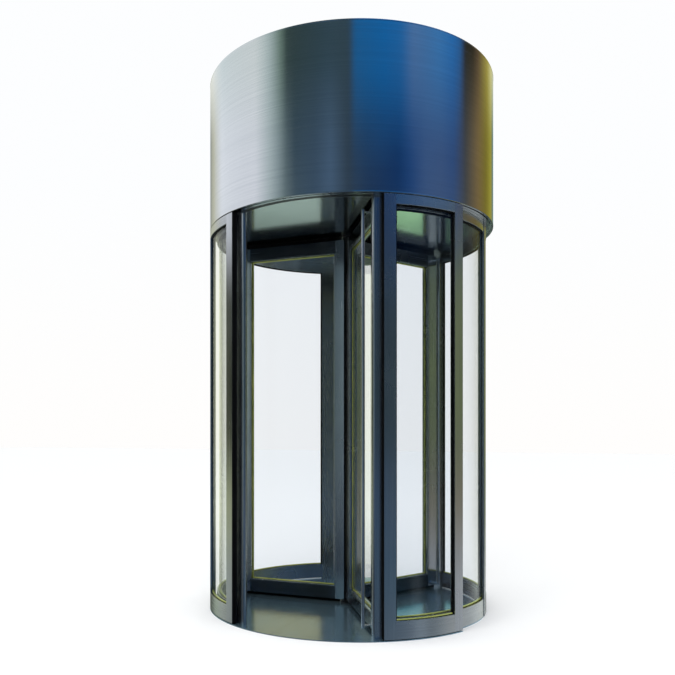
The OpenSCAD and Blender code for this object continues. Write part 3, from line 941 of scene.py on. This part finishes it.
canopy_head_ring = panels([
    (-180, (0.90, 0.88, 0.60)), (-125, (1.15, 1.18, 1.15)), (-105, (0.88, 0.98, 0.98)),
    (-60, (0.94, 1.0, 0.98)), (-52, (0.76, 0.86, 0.84)), (-46, (0.56, 0.68, 0.66)),
    (-37, (0.20, 0.30, 0.24)), (-31, (0.04, 0.07, 0.065)), (0, (0.04, 0.08, 0.10)),
    (18, (0.045, 0.085, 0.11)), (23, (0.010, 0.17, 0.46)), (45, (0.006, 0.19, 0.56)),
    (58, (0.02, 0.20, 0.56)), (68, (0.11, 0.26, 0.55)), (78, (0.08, 0.25, 0.56)),
    (90, (0.06, 0.27, 0.64)), (104, (0.026, 0.22, 0.62)), (112, (0.03, 0.17, 0.46)),
    (118, (0.03, 0.03, 0.02)), (129, (0.03, 0.026, 0.015)), (138, (0.14, 0.09, 0.05)),
    (156, (0.57, 0.48, 0.10)), (168, (0.92, 0.88, 0.45)), (180, (0.90, 0.88, 0.60)),
])


def blend(below, above, from_z, to_z):
    """One ring of panels passing into the next between two heights of the direction."""
    share = add(tree, "ShaderNodeMapRange", {"Value": parts["Z"], "From Min": from_z, "From Max": to_z})
    return add(
        tree, "ShaderNodeMix", {0: share.outputs["Result"], 6: below, 7: above}, data_type="RGBA"
    ).outputs[2]


mirrored_room = blend(ceiling_ring, rail_ring, -0.288, -0.246)
mirrored_room = blend(mirrored_room, lower_ring, -0.19, -0.11)
mirrored_room = blend(mirrored_room, level_ring, -0.08, -0.02)
mirrored_room = blend(mirrored_room, canopy_foot_ring, 0.19, 0.26)
mirrored_room = blend(mirrored_room, canopy_head_ring, 0.355, 0.445)
overhead = add(tree, "ShaderNodeRGB")
overhead.outputs[0].default_value = (0.75, 0.80, 0.85, 1)
mirrored_room = blend(mirrored_room, overhead.outputs[0], 0.85, 0.98)
rise = add(tree, "ShaderNodeMapRange", {"Value": parts["Z"], "From Min": -0.3, "From Max": 0.3})
backdrop = add(
    tree, "ShaderNodeValToRGB", {"Fac": rise.outputs[0]},
    stops=[(0.0, (1.0, 0.985, 0.965, 1)), (0.5, (1.0, 0.99, 0.98, 1)), (1.0, (0.98, 0.99, 1.0, 1))],
)
rays = add(tree, "ShaderNodeLightPath").outputs
glossy = add(
    tree, "ShaderNodeMath", {0: rays["Is Glossy Ray"], 1: rays["Is Transmission Ray"]}, operation="SUBTRACT",
    use_clamp=True,
)
colour = add(
    tree, "ShaderNodeMix", {0: glossy.outputs[0], 6: backdrop.outputs["Color"], 7: mirrored_room},
    data_type="RGBA",
)
strength = add(tree, "ShaderNodeMath", {0: rays["Is Diffuse Ray"], 1: 0.14, 2: 1.0}, operation="MULTIPLY_ADD")
background = add(tree, "ShaderNodeBackground", {"Color": colour.outputs[2], "Strength": strength.outputs[0]})
add(tree, "ShaderNodeOutputWorld", {"Surface": background.outputs[0]})

softbox = bpy.data.lights.new("softbox", "AREA")
softbox.shape = "RECTANGLE"
softbox.size = softbox.size_y = 5.0
softbox.energy = 200
softbox_object = bpy.data.objects.new("softbox", softbox)
softbox_object.location = (0.5, -5.0, 6.5)
aim = Vector((0, 0, 1.5)) - softbox_object.location
softbox_object.rotation_euler = aim.to_track_quat("-Z", "Y").to_euler()
softbox_object.visible_glossy = False
bpy.context.scene.collection.objects.link(softbox_object)

camera_data = bpy.data.cameras.new("camera")
camera_data.lens = 39.98
camera_data.sensor_width = 36
camera_data.shift_x = 0.0530
camera_data.shift_y = 0.1375
camera = bpy.data.objects.new("camera", camera_data)
camera.location = (1.818, -5.383, 1.309)
camera.rotation_euler = (math.radians(90), 0, math.radians(22.35))
bpy.context.scene.collection.objects.link(camera)
bpy.context.scene.camera = camera
bpy.context.scene.view_settings.view_transform = "Standard"
bpy.context.scene.cycles.transparent_max_bounces = 32
